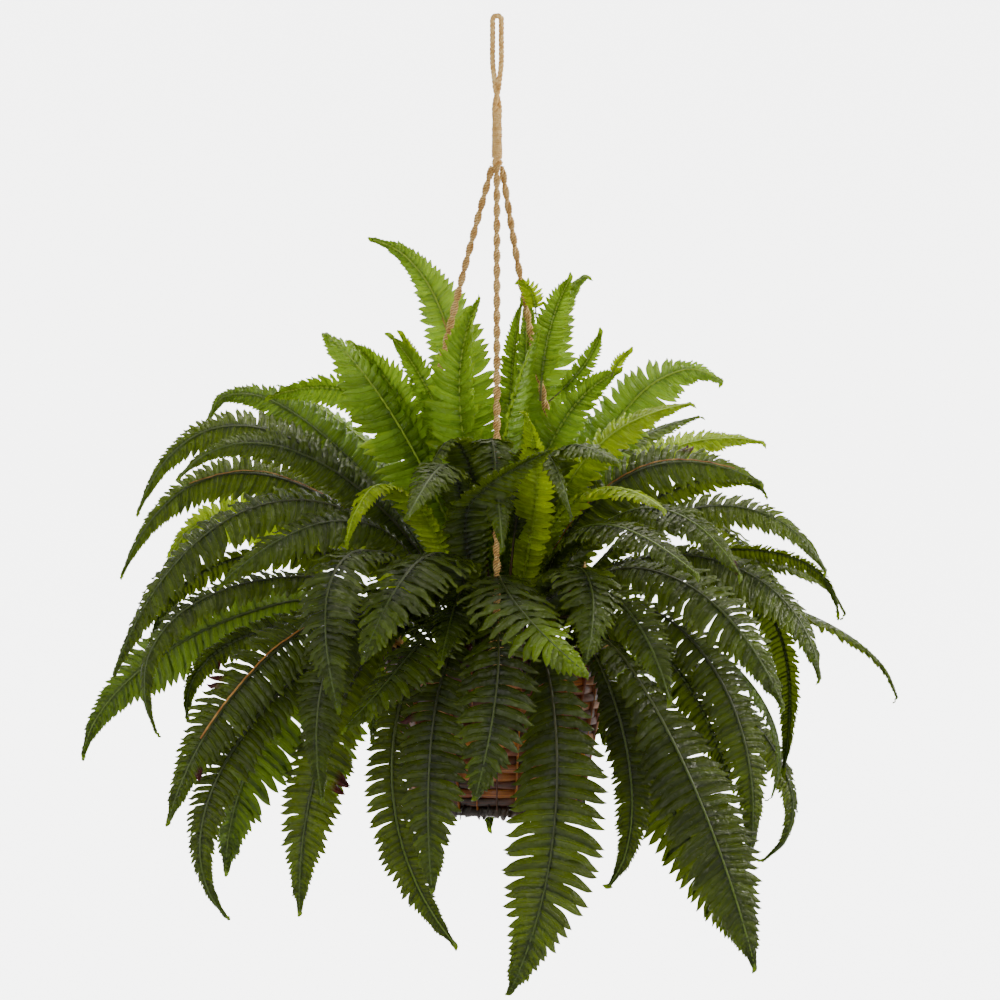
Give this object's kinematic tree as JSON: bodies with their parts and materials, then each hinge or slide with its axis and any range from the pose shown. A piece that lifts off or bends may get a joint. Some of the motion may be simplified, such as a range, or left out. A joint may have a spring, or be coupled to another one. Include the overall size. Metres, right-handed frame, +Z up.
{
  "type": "boston fern in basket",
  "caption": "Boston fern with arching and trailing fronds in a woven round basket, hung by three braided ropes from a rope loop.",
  "frame": {"origin": "top of the inside of the hanging loop, where a hook carries it", "axes": "+Z up along the hanging line, -Y the front that faces the viewer, +X to the viewer's right"},
  "size_m": [0.9543, 0.7474, 1.0958],
  "materials": {
    "jute": "matt twisted plant fibre, tan, with loose hairs",
    "cane": "split cane stained reddish brown, glossy lacquer",
    "cane_dark": "split cane stained dark brown, glossy lacquer",
    "pot": "plain black nursery pot",
    "soil": "loose peaty compost with moss",
    "leaf_dark": "dark green blades with a soft sheen, blue-grey along the rib",
    "leaf_fresh": "fresh green blades with a soft sheen",
    "leaf_young": "light yellow-green blades with a soft sheen",
    "leaf_lime": "lime green young blades with a soft sheen",
    "runner": "wiry orange-brown runner"
  },
  "bodies": {
    "root": {"basket_wall": "cane", "foot_hoop": "cane_dark", "frond_back_1": "leaf_dark", "frond_back_10": "leaf_fresh", "frond_back_11": "leaf_young", "frond_back_2": "leaf_fresh", "frond_back_3": "leaf_young", "frond_back_4": "leaf_dark", "frond_back_5": "leaf_dark", "frond_back_6": "leaf_fresh", "frond_back_7": "leaf_young", "frond_back_8": "leaf_dark", "frond_back_9": "leaf_dark", "frond_front_long": "leaf_dark", "frond_hero": "leaf_dark", "frond_left_down": "leaf_dark", "frond_left_hang": "leaf_fresh", "frond_left_lime": "leaf_lime", "frond_left_small": "leaf_lime", "frond_left_top": "leaf_fresh", "frond_right_drop": "leaf_fresh", "frond_right_high": "leaf_young", "fronds_front_hang": "leaf_dark", "fronds_front_left": "leaf_dark", "fronds_front_right": "leaf_dark", "fronds_front_sweep": "leaf_dark", "fronds_left_big": "leaf_dark", "fronds_left_chain": "leaf_dark", "fronds_left_high": "leaf_dark", "fronds_left_low": "leaf_fresh", "fronds_left_near": "leaf_dark", "fronds_left_out": "leaf_dark", "fronds_middle_lime": "leaf_lime", "fronds_right_arc": "leaf_dark", "fronds_right_broad": "leaf_dark", "fronds_right_far": "leaf_dark", "fronds_right_fold": "leaf_dark", "fronds_right_lime": "leaf_lime", "fronds_right_long": "leaf_fresh", "fronds_right_near": "leaf_fresh", "fronds_right_out": "leaf_dark", "fronds_up_front": "leaf_young", "fronds_up_left": "leaf_young", "fronds_up_right": "leaf_young", "gathering_knot": "jute", "hang_loop": "jute", "inner_pot": "pot", "loop_binding": "jute", "rim_hoop": "cane", "rim_knot_front": "jute", "rim_knot_left": "jute", "rim_knot_right": "jute", "rope_front": "jute", "rope_left": "jute", "rope_right": "jute", "runner_left_big": "runner", "runner_left_out": "runner", "runner_right_broad": "runner", "runner_up_left": "runner", "soil": "soil"}
  },
  "joints": []
}
